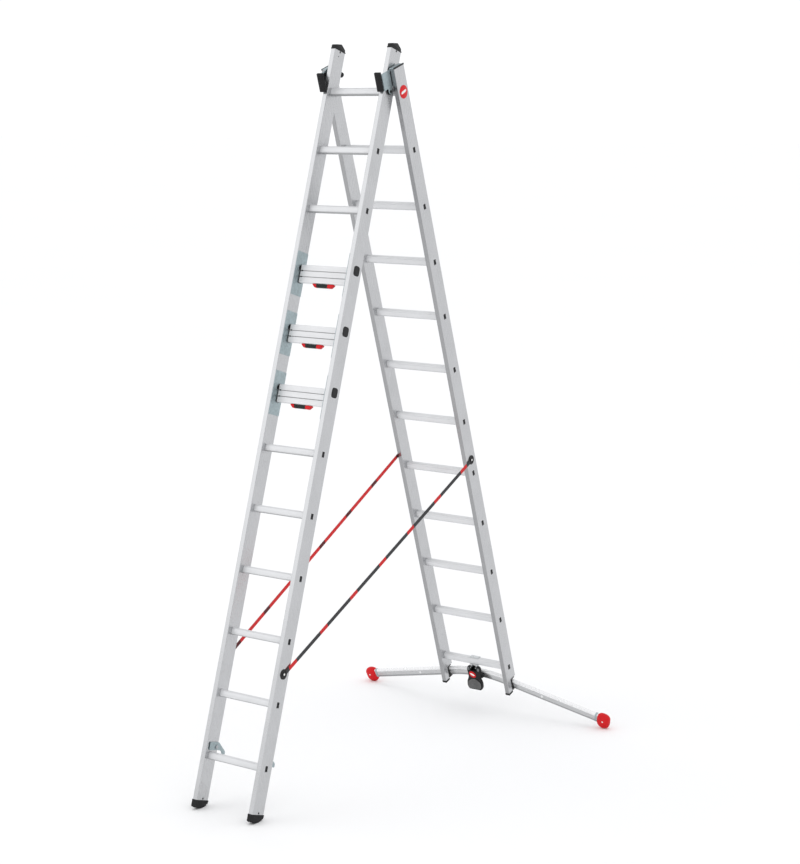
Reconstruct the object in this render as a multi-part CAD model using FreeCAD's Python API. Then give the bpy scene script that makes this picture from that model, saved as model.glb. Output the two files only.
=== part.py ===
"""Two-section extension ladder, stored open as a self-supporting A-frame.

Each section is built upright in its own frame and then leaned into place.
In a section's frame "x" runs across the ladder, "out" is the distance in front of the
stiles' middle plane, and "down" is the distance along the stile below the top rung's axis.
"""
import os
from math import cos, radians, sin, tan

import FreeCAD
import Part
from FreeCAD import Vector

os.makedirs("parts", exist_ok=True)

# ---------------------------------------------------------------- driving dimensions (mm, degrees)
rung_pitch = 280.0
rung_count = 12
hinge_height = 3168.0
front_lean = 17.2
rear_lean = 18.8
rear_set_back = 68.0
footprint_shift_y = -79.7

front_width = 340.0
rear_width = 410.0
marker_disc_radius = 31.0
stile_width = 24.0
stile_depth = 81.0
stile_wall = 2.0
front_stile_top = 200.0
front_stile_bottom = 3281.0
rear_stile_top = 121.0
rear_stile_bottom = 3225.0

rung_depth = 30.0
rung_height = 33.0
rung_wall = 2.0
neck_depth = 22.0
neck_height = 30.0
plug_depth = 18.0
plug_height = 26.0

tread_rungs = (4, 5, 6)
tread_height = 84.0
tread_thickness = 28.0
tread_above_axis = 16.0
tread_end_gap = 3.2
tread_axle_radius = 9.0
grip_length = 124.0
grip_height = 17.0

crossbar_bend_radius = 700.0
crossbar_arm_angle = 12.78
crossbar_crown_down = 3160.2
crossbar_out = -14.0
crossbar_height = 44.0
crossbar_depth = 24.0
crossbar_reach = 706.0
crossbar_foot_x = 712.0
crossbar_collar_x = 664.0
crossbar_stop_x = 372.0
crossbar_swing_clearance = 3.4

pedal_pivot_down = 3112.0
pedal_pivot_out = 21.0
pedal_tilt = 8.0
pedal_back = 12.0
pedal_front = 30.0
pedal_ear_x = 15.0
pedal_barrel_in = 18.6
pedal_barrel_out = 32.0
pedal_barrel_radius = 9.0
pedal_pin_radius = 4.0
pad_thickness = 4.0
brake_clearance = 0.7

hook_pivot_out = -22.0
hook_pivot_down = 3040.0
hook_gap = 2.0
hook_thickness = 4.0
stop_knob_down = -101.0

strap_front_down = 2664.0
strap_rear_down = 1888.0
strap_width = 20.0
strap_thickness = 1.6
ring_radius = 23.0

# ---------------------------------------------------------------- derived sizes
half_depth = stile_depth / 2
front_out = front_width / 2
front_in = front_out - stile_width
rear_out = rear_width / 2
rear_in = rear_out - stile_width
plate_in = rear_in - 3.0
sides = (-1, 1)
tilt = {"front": -front_lean, "rear": rear_lean}
origin = {
    "front": Vector(0, footprint_shift_y, hinge_height),
    "rear": Vector(0, footprint_shift_y + rear_set_back, hinge_height),
}


# ---------------------------------------------------------------- helpers
def block(x0, x1, out0, out1, down0, down1, radius=0.0, along=None):
    """Box in a section's frame, with the four edges that run along one axis rounded."""
    low_x, high_x = min(x0, x1), max(x0, x1)
    low_out, high_out = min(out0, out1), max(out0, out1)
    low_down, high_down = min(down0, down1), max(down0, down1)
    corner = Vector(low_x, -high_out, -high_down)
    shape = Part.makeBox(high_x - low_x, high_out - low_out, high_down - low_down, corner)
    if radius:
        shape = round_edges(shape, radius, along)
    return shape


def round_edges(shape, radius, along):
    """Fillet the straight edges that run along the given axis."""
    axis = {"x": Vector(1, 0, 0), "out": Vector(0, 1, 0), "down": Vector(0, 0, 1)}[along]
    edges = []
    for edge in shape.Edges:
        direction = edge.tangentAt(edge.FirstParameter)
        if abs(direction.dot(axis)) > 0.99:
            edges.append(edge)
    return shape.makeFillet(radius, edges)


def rod(x0, x1, out, down, radius):
    """Round bar lying across the ladder."""
    low_x, high_x = min(x0, x1), max(x0, x1)
    return Part.makeCylinder(radius, high_x - low_x, Vector(low_x, -out, -down), Vector(1, 0, 0))


def stud(x, out0, out1, down, radius):
    """Round bar standing square to the section's plane."""
    low_out, high_out = min(out0, out1), max(out0, out1)
    return Part.makeCylinder(radius, high_out - low_out, Vector(x, -low_out, -down), Vector(0, -1, 0))


def sheet_metal(x0, x1, outline):
    """Flat plate across x, cut to an outline of (out, down) corners."""
    low_x, high_x = min(x0, x1), max(x0, x1)
    corners = [Vector(low_x, -out, -down) for out, down in outline]
    wire = Part.makePolygon(corners + corners[:1])
    return Part.Face(wire).extrude(Vector(high_x - low_x, 0, 0))


def front_plate(out0, out1, outline):
    """Flat plate facing forward, cut to an outline of (x, down) corners."""
    low_out, high_out = min(out0, out1), max(out0, out1)
    corners = [Vector(x, -high_out, -down) for x, down in outline]
    wire = Part.makePolygon(corners + corners[:1])
    return Part.Face(wire).extrude(Vector(0, high_out - low_out, 0))


def rung_section(x0, x1, depth, height, radius, down):
    """Rounded bar of the rung's outline between two stations."""
    return block(x0, x1, -depth / 2, depth / 2, down - height / 2, down + height / 2, radius, "x")


def place(shape, section):
    """Lean a shape into the standing ladder."""
    moved = shape.copy()
    moved.rotate(Vector(0, 0, 0), Vector(1, 0, 0), tilt[section])
    moved.translate(origin[section])
    return moved


def above_floor(shape):
    """Trim a foot to a level sole on the floor."""
    room = Part.makeBox(4000, 6000, 6000, Vector(-2000, -3000, 0))
    return shape.common(room)


def largest_solid(shape):
    """The biggest solid of a shape that a cut has left in several."""
    return sorted(shape.Solids, key=lambda solid: solid.Volume)[-1]


written = []


def save(name, shape):
    """Write one node."""
    shape.exportStep("parts/" + name + ".step")
    written.append(name)


def side_name(side):
    return "left" if side < 0 else "right"


def rung_down(number):
    return (number - 1) * rung_pitch


# ---------------------------------------------------------------- stiles
def hollow_stile(inner_x, outer_x, top, bottom):
    body = block(inner_x, outer_x, -half_depth, half_depth, -top, bottom, 2.5, "down")
    low_x, high_x = min(inner_x, outer_x), max(inner_x, outer_x)
    bore = block(low_x + stile_wall, high_x - stile_wall, -half_depth + 3.0, half_depth - 3.0,
                 -top - 1.0, bottom + 1.0)
    return body.cut(bore)


front_plain_rungs = [n for n in range(1, rung_count + 1) if n not in tread_rungs]
for side in sides:
    inner_x = side * front_in
    outer_x = side * front_out
    stile = hollow_stile(inner_x, outer_x, front_stile_top, front_stile_bottom)
    cutters = []
    for number in front_plain_rungs:
        cutters.append(rung_section(inner_x - side, outer_x + side, neck_depth, neck_height, 3.0,
                                    rung_down(number)))
    for number in tread_rungs:
        cutters.append(rod(inner_x - side, outer_x + side, 0, rung_down(number), 13.0))
    stile = stile.cut(Part.makeCompound(cutters))
    save("front_stile_" + side_name(side), place(stile, "front"))

arm_turn = radians(crossbar_arm_angle)
bend_x = crossbar_bend_radius * sin(arm_turn)
bend_centre = Vector(0, -crossbar_out, -crossbar_crown_down - crossbar_bend_radius)
arm_apex_down = crossbar_crown_down - crossbar_bend_radius * (1 / cos(arm_turn) - 1)
liner_wall = 3.0
notch_down = arm_apex_down + (rear_in + rear_out) / 2 * tan(arm_turn)
notch_top = notch_down - crossbar_height / 2 - liner_wall - crossbar_swing_clearance - 4.8
notch_bottom = notch_down + crossbar_height / 2 + liner_wall + 5.7
notch_front = crossbar_out + crossbar_depth / 2 + 8.0
for side in sides:
    inner_x = side * rear_in
    outer_x = side * rear_out
    stile = hollow_stile(inner_x, outer_x, rear_stile_top, rear_stile_bottom)
    cutters = []
    for number in range(1, rung_count + 1):
        cutters.append(rung_section(inner_x - side, outer_x + side, neck_depth, neck_height, 3.0,
                                    rung_down(number)))
    cutters.append(block(inner_x - side, outer_x + side, -half_depth - 1, notch_front,
                         notch_top, notch_bottom))
    cutters.append(block(inner_x - side, outer_x + side, -half_depth - 1, 4.0,
                         notch_down, rear_stile_bottom + 2))
    stile = stile.cut(Part.makeCompound(cutters))
    save("rear_stile_" + side_name(side), place(stile, "rear"))


# ---------------------------------------------------------------- rungs and their end plugs
def shouldered_rung(inner_x, outer_x, down):
    """Rung tube with a reduced neck at each end that passes through the stile."""
    body = rung_section(-inner_x, inner_x, rung_depth, rung_height, 5.0, down)
    neck = rung_section(-outer_x, outer_x, neck_depth - 0.1, neck_height - 0.1, 3.0, down)
    hollow = rung_section(-inner_x + 3, inner_x - 3, rung_depth - 2 * rung_wall,
                          rung_height - 2 * rung_wall, 3.0, down)
    bore = rung_section(-outer_x - 1, outer_x + 1, plug_depth, plug_height, 2.0, down)
    return body.fuse(neck).cut(hollow.fuse(bore)).removeSplitter()


front_plugs = []
for number in front_plain_rungs:
    down = rung_down(number)
    save("front_rung_%02d" % number, place(shouldered_rung(front_in, front_out, down), "front"))
    for side in sides:
        front_plugs.append(rung_section(side * (front_out - 12), side * front_out,
                                        plug_depth - 0.1, plug_height - 0.1, 2.0, down))
for number in tread_rungs:
    down = rung_down(number)
    for side in sides:
        bush = rod(side * front_in, side * front_out, 0, down, 12.9)
        cap = block(side * front_out, side * (front_out + 1.0), -15, 15, down - 22, down + 22, 9, "x")
        bore = rod(side * (front_in - 1), side * (front_out - 5), 0, down, tread_axle_radius + 0.4)
        front_plugs.append(bush.fuse(cap).cut(bore))
save("front_end_plugs", place(Part.makeCompound(front_plugs), "front"))

rear_plugs = []
for number in range(1, rung_count + 1):
    down = rung_down(number)
    save("rear_rung_%02d" % number, place(shouldered_rung(rear_in, rear_out, down), "rear"))
    for side in sides:
        proud = 0.0 if number == 1 else 0.8
        rear_plugs.append(rung_section(side * (rear_out - 12), side * (rear_out + proud),
                                       plug_depth - 0.1, plug_height - 0.1, 2.0, down))
for side in sides:
    top_lid = block(side * (rear_out - 2), side * rear_out, -half_depth, half_depth,
                    -rear_stile_top - 3.5, -rear_stile_top)
    foot_lid = block(side * rear_in, side * rear_out, 4.0, half_depth,
                     rear_stile_bottom, rear_stile_bottom + 5.0, 2.0, "down")
    rear_plugs.append(top_lid)
    rear_plugs.append(foot_lid)
save("rear_end_plugs", place(Part.makeCompound(rear_plugs), "rear"))

discs = [rod(side * rear_out, side * (rear_out + 1.4), 0, 0, marker_disc_radius) for side in sides]
save("rear_marker_discs", place(Part.makeCompound(discs), "rear"))


# ---------------------------------------------------------------- caps and feet of the front section
caps = []
cap_outline = [
    (half_depth, -front_stile_top),
    (half_depth + 1.5, -front_stile_top - 16),
    (half_depth - 4, -front_stile_top - 19),
    (-4, -front_stile_top - 32),
    (-half_depth + 4, -front_stile_top - 15),
    (-half_depth, -front_stile_top),
]
for side in sides:
    lid = sheet_metal(side * (front_in - 0.5), side * (front_out + 0.5), cap_outline)
    stub = block(side * (front_in + 2.2), side * (front_out - 2.2), -half_depth + 3.4,
                 half_depth - 3.4, -front_stile_top, -front_stile_top + 30)
    caps.append(lid.fuse(stub))
save("front_top_caps", place(Part.makeCompound(caps), "front"))

feet = []
for side in sides:
    shoe = block(side * (front_in - 1.5), side * (front_out + 1.5), -half_depth - 1, half_depth + 1,
                 front_stile_bottom, front_stile_bottom + 60, 4, "down")
    stub = block(side * (front_in + 2.2), side * (front_out - 2.2), -half_depth + 3.4,
                 half_depth - 3.4, front_stile_bottom - 30, front_stile_bottom)
    feet.append(above_floor(place(shoe.fuse(stub), "front")))
save("front_feet", Part.makeCompound(feet))

# ---------------------------------------------------------------- folding treads
axle_x = front_in - tread_end_gap
side_plates = []
for number in tread_rungs:
    down = rung_down(number)
    for side in sides:
        plate = block(side * (front_in - 1.5), side * front_in, -half_depth + 1, half_depth - 1,
                      down - 74, down + 129, 4, "x")
        side_plates.append(plate.cut(rod(side * (front_in - 3), side * front_in, 0, down, 13.0)))
save("tread_side_plates", place(Part.makeCompound(side_plates), "front"))


def tread_board(down):
    """Ribbed hollow board that hangs below its axle with its standing face to the front."""
    low = down - tread_above_axis
    high = low + tread_height
    half_x = axle_x - 6.0
    board = block(-half_x, half_x, 2 - tread_thickness, 2, low, high, 5.0, "x")
    chambers = []
    for index in range(3):
        start = low + 4 + index * 26
        chambers.append(block(-half_x - 1, half_x + 1, 5 - tread_thickness, -2, start, start + 24,
                              2.0, "x"))
    grooves = []
    for index in range(1, 3):
        middle = low + index * tread_height / 3
        grooves.append(block(-half_x - 1, half_x + 1, 0.4, 3, middle - 1.6, middle + 1.6))
    return board.cut(Part.makeCompound(chambers)).cut(Part.makeCompound(grooves))


def tread_end_caps(down):
    """Moulded ends of the board, each with a stub axle that turns in the stile."""
    low = down - tread_above_axis
    shapes = []
    for side in sides:
        cheek = block(side * (axle_x - 6), side * axle_x, 1 - tread_thickness, 3, low - 1,
                      low + tread_height + 1, 6.0, "x")
        axle = rod(side * axle_x, side * (front_out - 6), 0, down, tread_axle_radius)
        shapes.append(cheek.fuse(axle))
    return Part.makeCompound(shapes)


def tread_grip(down):
    """Release lever under the board's lower edge, narrower at its free edge."""
    top = down - tread_above_axis + tread_height + 1.0
    half_x = grip_length / 2
    outline = [(-half_x, top), (half_x, top), (half_x, top + 4), (half_x - 16, top + grip_height),
               (-half_x + 16, top + grip_height), (-half_x, top + 4)]
    return front_plate(-20.0, -2.0, outline)


for number, label in zip(tread_rungs, ("upper", "middle", "lower")):
    down = rung_down(number)
    save("tread_board_" + label, place(tread_board(down), "front"))
    save("tread_end_caps_" + label, place(tread_end_caps(down), "front"))
    save("tread_grip_" + label, place(tread_grip(down), "front"))


# ---------------------------------------------------------------- ratchet hooks that sit on the rear rungs
hook_outline = [(25, 3021), (-36, 3018), (-93, 3058), (-91, 3076), (-74, 3073), (-62, 3056),
                (-30, 3054), (22, 3058)]
for side in sides:
    plate = sheet_metal(side * (front_in - hook_gap - hook_thickness), side * (front_in - hook_gap),
                        hook_outline)
    bore = rod(side * (front_in - 8), side * front_in, hook_pivot_out, hook_pivot_down, 5.4)
    save("rung_hook_" + side_name(side), place(plate.cut(bore), "front"))


# ---------------------------------------------------------------- stop knobs, pins and hook bolts
fasteners = []
for side in sides:
    middle_x = side * (front_in + front_out) / 2
    stem = stud(middle_x, -half_depth, -half_depth - 8, stop_knob_down, 5.0)
    knob = stud(middle_x, -half_depth - 8, -half_depth - 22, stop_knob_down, 11.0)
    fasteners.append(stem.fuse(knob))
    for pin_down in (8 - front_stile_top, front_stile_bottom - 8):
        fasteners.append(rod(side * front_out, side * (front_out + 0.8), -1.5, pin_down, 4.0))
        fasteners.append(rod(side * front_in, side * (front_in - 0.8), -1.5, pin_down, 4.0))
    shank = rod(side * (front_in - 8), side * front_in, hook_pivot_out, hook_pivot_down, 5.0)
    head = rod(side * (front_in - 11), side * (front_in - 6.5), hook_pivot_out, hook_pivot_down, 8.0)
    fasteners.append(shank.fuse(head))
save("front_fasteners", place(Part.makeCompound(fasteners), "front"))


# ---------------------------------------------------------------- top brackets on the rear section
def hinge_in_rear_frame():
    """Place of the top front rung's axis in the rear section's frame: (out, down)."""
    point = origin["front"] - origin["rear"]
    turned = FreeCAD.Rotation(Vector(1, 0, 0), -rear_lean).multVec(point)
    return -turned.y, -turned.z


hinge_out, hinge_down = hinge_in_rear_frame()
closed_face = hinge_out + half_depth
lip_out = closed_face + 6.0
bracket_outline = [(-36, -119), (lip_out, -119), (lip_out, -39), (hinge_out + 12, -39),
                   (hinge_out + 12, hinge_down), (hinge_out + 8, hinge_down + 10),
                   (hinge_out - 8, hinge_down + 10), (hinge_out - 12, hinge_down),
                   (hinge_out - 12, -39), (-36, -39)]
lips = {}
for side in sides:
    plate = sheet_metal(side * plate_in, side * rear_in, bracket_outline)
    lip = block(side * (front_in + 2), side * rear_in, lip_out - 3, lip_out, -119, -39)
    lips[side] = lip
    flange = block(side * plate_in, side * (rear_out - 2.1), -36, half_depth - 0.5,
                   -rear_stile_top - 3.0, -rear_stile_top)
    riser = block(side * plate_in, side * rear_in, -36, half_depth - 0.5, -rear_stile_top - 3.0, -118)
    pin_hole = rod(side * (plate_in - 1), side * (rear_in + 1), hinge_out, hinge_down, 4.4)
    bracket = plate.fuse([lip, flange, riser]).cut(pin_hole)
    save("top_bracket_" + side_name(side), place(bracket, "rear"))

pads = []
for side in sides:
    pad = block(side * front_in, side * (plate_in - 0.4), closed_face + 1.2, lip_out + 10, -128, -39,
                3, "down")
    pads.append(pad.cut(lips[side]))
    liner = sheet_metal(side * (plate_in - 2.0), side * plate_in,
                        [(45, -112), (lip_out - 6, -112), (lip_out - 6, -45), (86, -45)])
    pads.append(liner)
save("bracket_pads", place(Part.makeCompound(pads), "rear"))

rear_fasteners = []
for side in sides:
    for out, down in ((-22, -104), (22, -104), (-22, -54), (22, -54)):
        rear_fasteners.append(rod(side * (plate_in - 1.6), side * plate_in, out, down, 4.0))
    rear_fasteners.append(stud(side * 187.5, half_depth, half_depth + 3, -34, 4.0))
save("rear_rivets", place(Part.makeCompound(rear_fasteners), "rear"))

shoes = []
for side in sides:
    disc = rod(side * (front_out + 1.5), side * (plate_in - 0.5), 0, 0, 15.0)
    pin = rod(side * (plate_in - 0.5), side * (rear_in + 0.4), 0, 0, 4.0)
    head = rod(side * (rear_in + 0.4), side * (rear_in + 3.6), 0, 0, 7.5)
    shoes.append(disc.fuse(pin).fuse(head))
save("hinge_guide_shoes", place(Part.makeCompound(shoes), "front"))


# ---------------------------------------------------------------- levelling crossbar
def tube_piece(height, depth, radius, past_reach):
    """Rounded bar with a bent middle and two straight arms."""
    middle = crossbar_crown_down
    stub = block(0, 10, crossbar_out - depth / 2, crossbar_out + depth / 2, middle - height / 2,
                 middle + height / 2, radius, "x")
    profile = [face for face in stub.Faces if abs(face.CenterOfMass.x) < 0.01][0]
    profile.rotate(bend_centre, Vector(0, 1, 0), -crossbar_arm_angle)
    bend = profile.revolve(bend_centre, Vector(0, 1, 0), 2 * crossbar_arm_angle)
    arm_length = (crossbar_reach + past_reach - bend_x) / cos(arm_turn)
    pieces = [bend]
    left_run = Vector(-cos(arm_turn), 0, -sin(arm_turn)) * arm_length
    pieces.append(profile.extrude(left_run))
    profile.rotate(bend_centre, Vector(0, 1, 0), 2 * crossbar_arm_angle)
    right_run = Vector(cos(arm_turn), 0, -sin(arm_turn)) * arm_length
    pieces.append(profile.extrude(right_run))
    return pieces[0].fuse(pieces[1:]).removeSplitter()


def along_bar(shape, x):
    """Turn a shape drawn at the crown so that it sits on an arm of the bar at x."""
    side = 1 if x > 0 else -1
    moved = shape.copy()
    moved.rotate(bend_centre, Vector(0, 1, 0), side * crossbar_arm_angle)
    slide = (abs(x) - bend_x) / cos(arm_turn)
    moved.translate(Vector(side * cos(arm_turn), 0, -sin(arm_turn)) * slide)
    return moved


half_bar = crossbar_height / 2
bar_front = crossbar_out + crossbar_depth / 2
bar_back = crossbar_out - crossbar_depth / 2
crossbar_wall = 2.5
outer_bar = tube_piece(crossbar_height, crossbar_depth, 8.0, 0.0)
inner_bar = tube_piece(crossbar_height - 2 * crossbar_wall, crossbar_depth - 2 * crossbar_wall, 5.5, 5.0)
save("crossbar_tube", place(outer_bar.cut(inner_bar), "rear"))

collar_half = 10.0
collar_wall = 3.0
collars = []
for side in sides:
    ring = block(-collar_half, collar_half, bar_back - collar_wall, bar_front + collar_wall,
                 crossbar_crown_down - half_bar - collar_wall,
                 crossbar_crown_down + half_bar + collar_wall, 9, "x")
    ring = along_bar(ring, side * crossbar_collar_x).cut(outer_bar).cut(inner_bar)
    collars.append(ring)
save("crossbar_collars", place(Part.makeCompound(collars), "rear"))

boot_inner_end = 37.0
boot_outer_end = 44.0
boot_wall = 9.0
boot_rise = 17.0
boot_drop = 57.0
boot_corner = 14.0
crossbar_feet = []
for side in sides:
    shoe = block(side * -boot_inner_end, side * boot_outer_end, bar_back - boot_wall,
                 bar_front + boot_wall, crossbar_crown_down - half_bar - boot_rise,
                 crossbar_crown_down + half_bar + boot_drop, boot_corner, "x")
    shoe = round_edges(shoe, boot_corner - 2, "out")
    shoe = along_bar(shoe, side * crossbar_foot_x)
    shoe = shoe.cut(outer_bar).cut(inner_bar.common(outer_bar))
    crossbar_feet.append(above_floor(place(largest_solid(shoe), "rear")))
save("crossbar_feet", Part.makeCompound(crossbar_feet))

stop_bolts = []
for side in sides:
    head = stud(0, bar_front, bar_front + 6, crossbar_crown_down, 6.5)
    stop_bolts.append(along_bar(head, side * crossbar_stop_x))
    rivet = stud(0, bar_front + boot_wall, bar_front + boot_wall + 1.5, crossbar_crown_down, 4.5)
    stop_bolts.append(along_bar(rivet, side * crossbar_foot_x))
save("crossbar_stop_bolts", place(Part.makeCompound(stop_bolts), "rear"))

liners = []
for side in sides:
    x0 = side * (rear_in - 2.5)
    x1 = side * (rear_out + 2.5)
    shell = block(x0, x1, -26, notch_front - 0.1, notch_top + 0.1, notch_bottom - 0.1, 9, "x")
    gap = block(x0 - side * 2, x1 + side * 2, -40, bar_front + 0.9, notch_top + liner_wall,
                notch_bottom - liner_wall, 7, "x")
    liners.append(shell.cut(gap))
save("crossbar_guide_liners", place(Part.makeCompound(liners), "rear"))


# ---------------------------------------------------------------- foot pedal that locks the crossbar
last_rung = rung_down(rung_count)
clip_wall = 2.5
clip_reach = 26.0
clip = block(-clip_reach, clip_reach, -rung_depth / 2 - clip_wall, rung_depth / 2,
             last_rung - rung_height / 2 - clip_wall, last_rung + rung_height / 2 + clip_wall, 3, "x")
clip = clip.cut(rung_section(-40, 40, rung_depth, rung_height, 5, last_rung))
clip = clip.cut(block(-40, 40, rung_depth / 2 - 8, rung_depth, last_rung - 30, last_rung + 14))
ear_top = last_rung + rung_height / 2 + 1.0
ear_half = 2.0
ear_outline = [(2, ear_top), (14, ear_top), (30, pedal_pivot_down - 5), (30, pedal_pivot_down + 7),
               (13, pedal_pivot_down + 7), (2, pedal_pivot_down - 6)]
for side in sides:
    clip = clip.fuse(sheet_metal(side * (pedal_ear_x - ear_half), side * (pedal_ear_x + ear_half),
                                 ear_outline))
pin = rod(-22, 22, pedal_pivot_out, pedal_pivot_down, pedal_pin_radius)
clip = clip.fuse(pin)
save("pedal_bracket", place(clip, "rear"))

pedal_outline = [(-22, 3101), (-36, 3106), (-40, 3124), (-34, 3150), (-34, 3166), (-44, 3190),
                 (-45, 3214), (-36, 3232), (36, 3232), (45, 3214), (44, 3190), (34, 3166),
                 (34, 3150), (40, 3124), (36, 3106), (22, 3101)]
lever = front_plate(pedal_back, pedal_front, pedal_outline)
lever = lever.cut(block(-pedal_barrel_in, pedal_barrel_in, 0, 60, 3090, pedal_pivot_down + 14))
for side in sides:
    lever = lever.cut(block(side * 7, side * 20, 0, 60, 3128, 3140, 4, "out"))
    barrel = rod(side * pedal_barrel_in, side * pedal_barrel_out, pedal_pivot_out, pedal_pivot_down,
                 pedal_barrel_radius)
    lever = lever.fuse(barrel)
lever = lever.cut(rod(-24, 24, pedal_pivot_out, pedal_pivot_down, pedal_pin_radius + 0.4))
brake = block(-34, 40, bar_front + brake_clearance, pedal_back + 6, 3148, 3172)
pivot_point = Vector(0, -pedal_pivot_out, -pedal_pivot_down)
lever.rotate(pivot_point, Vector(1, 0, 0), -pedal_tilt)
save("pedal_lever", place(lever.fuse(brake), "rear"))

pad_outline = [(-20, 3176), (-38, 3192), (-40, 3212), (-33, 3226), (33, 3226), (40, 3212), (38, 3192),
               (20, 3176), (0, 3170)]
pad = front_plate(pedal_front, pedal_front + pad_thickness, pad_outline)
pad.rotate(pivot_point, Vector(1, 0, 0), -pedal_tilt)
save("pedal_pad", place(pad, "rear"))


# ---------------------------------------------------------------- spreader straps and their eyelets
def eyelet(side, face_x, down):
    ring = rod(side * face_x, side * (face_x + 2.4), 0, down, ring_radius)
    rivet = rod(side * (face_x + 2.4), side * (face_x + 6.0), 0, down, 8.0)
    return ring.fuse(rivet)


save("strap_eyelets_front", place(Part.makeCompound(
    [eyelet(side, front_out, strap_front_down) for side in sides]), "front"))
save("strap_eyelets_rear", place(Part.makeCompound(
    [eyelet(side, rear_out, strap_rear_down) for side in sides]), "rear"))


def in_section(section, x, out, down):
    turned = FreeCAD.Rotation(Vector(1, 0, 0), tilt[section]).multVec(Vector(x, -out, -down))
    return turned + origin[section]


for side in sides:
    start = in_section("front", side * (front_out + 2.6), 0, strap_front_down)
    end = in_section("rear", side * (rear_out + 3.2), 0, strap_rear_down)
    run = end - start
    length = run.Length
    unit = run * (1.0 / length)
    across = Vector(side, 0, 0) - unit * (side * unit.x)
    across.normalize()
    up = across.cross(unit)
    first = start + unit * 9.0 - up * (strap_width / 2)
    corners = [first, first + up * strap_width,
               first + up * strap_width + unit * (length - 18.0), first + unit * (length - 18.0)]
    ribbon = Part.Face(Part.makePolygon(corners + corners[:1]))
    save("strap_" + side_name(side), ribbon.extrude(across * strap_thickness))

print(len(written), "nodes")
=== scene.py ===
"""Two-section extension ladder standing open as an A-frame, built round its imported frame."""
import math

import bpy
import numpy as np
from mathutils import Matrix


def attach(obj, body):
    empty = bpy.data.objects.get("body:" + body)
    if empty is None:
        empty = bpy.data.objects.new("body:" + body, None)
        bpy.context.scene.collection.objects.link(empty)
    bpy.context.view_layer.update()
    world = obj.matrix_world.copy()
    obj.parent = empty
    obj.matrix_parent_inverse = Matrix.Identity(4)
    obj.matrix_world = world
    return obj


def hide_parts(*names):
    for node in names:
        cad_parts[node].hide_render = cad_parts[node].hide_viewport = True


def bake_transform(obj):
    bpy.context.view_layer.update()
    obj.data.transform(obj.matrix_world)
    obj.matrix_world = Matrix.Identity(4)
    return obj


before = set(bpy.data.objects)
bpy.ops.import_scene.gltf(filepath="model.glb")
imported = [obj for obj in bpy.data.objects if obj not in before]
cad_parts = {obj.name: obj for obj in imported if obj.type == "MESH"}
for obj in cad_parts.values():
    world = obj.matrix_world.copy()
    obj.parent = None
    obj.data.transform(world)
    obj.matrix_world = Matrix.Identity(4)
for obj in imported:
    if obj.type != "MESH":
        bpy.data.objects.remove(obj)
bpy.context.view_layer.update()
scene = bpy.context.scene

# ---------------------------------------------------------------- camera, floor and lights
# A plain pale studio: a long lens from the right of the ladder's front, a matt floor that
# runs far behind it, a broad soft light on the front left and an even pale sky.
lens = bpy.data.cameras.new("studio_camera")
lens.sensor_width = 36.0
lens.lens = 84.84
lens.shift_x, lens.shift_y = 0.1205, -0.083
lens.clip_end = 400.0
camera = bpy.data.objects.new("studio_camera", lens)
camera.location = (5.489, -7.770, 3.094)
heading, dip = math.radians(37.26), math.radians(7.06)
camera.rotation_euler = (math.pi / 2 - dip, 0.0, heading)
scene.collection.objects.link(camera)
scene.camera = camera


def feed(tree, socket, value):
    """Gives a shader socket a plain value or links the output that feeds it."""
    if isinstance(value, bpy.types.NodeSocket):
        tree.links.new(value, socket)
    else:
        socket.default_value = value


def add(tree, kind, settings=None, **inputs):
    """Adds a shader node; each input is a plain value or the output that feeds it."""
    node = tree.nodes.new(kind)
    for name, value in (settings or {}).items():
        setattr(node, name, value)
    for name, value in inputs.items():
        feed(tree, node.inputs[name.replace("_", " ")], value)
    return node


def noise(tree, vector, scale, detail, rough=0.5):
    """Noise value over a vector."""
    return add(tree, "ShaderNodeTexNoise", Vector=vector, Scale=scale, Detail=detail,
               Roughness=rough).outputs["Fac"]


def maths(tree, kind, first, second):
    """One sum of two values, each a number or an output."""
    node = add(tree, "ShaderNodeMath", {"operation": kind})
    feed(tree, node.inputs[0], first)
    feed(tree, node.inputs[1], second)
    return node.outputs[0]


def mix(tree, kind, factor, first, second):
    """Mixes two numbers ("FLOAT") or two colours ("RGBA") by a factor."""
    node = add(tree, "ShaderNodeMix", {"data_type": kind}, Factor=factor)
    start, result = {"FLOAT": (2, 0), "RGBA": (6, 2)}[kind]
    feed(tree, node.inputs[start], first)
    feed(tree, node.inputs[start + 1], second)
    return node.outputs[result]


def scaled(colour, factor, lift=0.0):
    """Colour made lighter or darker by a factor, then lifted, and held below white."""
    return tuple(min(1.0, value * factor + lift) for value in colour)


def ramp(tree, factor, *stops):
    """Colour ramp from (position, colour) stops fed by a factor."""
    node = add(tree, "ShaderNodeValToRGB", Fac=factor)
    elements = node.color_ramp.elements
    while len(elements) < len(stops):
        elements.new(0.5)
    for element, (position, colour) in zip(elements, stops):
        element.position = position
        element.color = (*colour, 1.0)
    return node.outputs["Color"]


def blank(name, **shader_values):
    """New material with its shader's plain sockets set: returns material, tree, shader."""
    material = bpy.data.materials.new(name)
    material.use_nodes = True
    tree = material.node_tree
    shader = tree.nodes["Principled BSDF"]
    for socket, value in shader_values.items():
        shader.inputs[socket.replace("_", " ")].default_value = value
    return material, tree, shader


def wire(tree, shader, colour=None, roughness=None, height=None, depth=0.0002, strength=0.3):
    """Feeds a shader its colour, its roughness and a bump of the given depth in metres."""
    if colour is not None:
        tree.links.new(colour, shader.inputs["Base Color"])
    if roughness is not None:
        tree.links.new(roughness, shader.inputs["Roughness"])
    if height is not None:
        bump = add(tree, "ShaderNodeBump", Strength=strength, Distance=depth, Height=height)
        tree.links.new(bump.outputs["Normal"], shader.inputs["Normal"])


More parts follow.
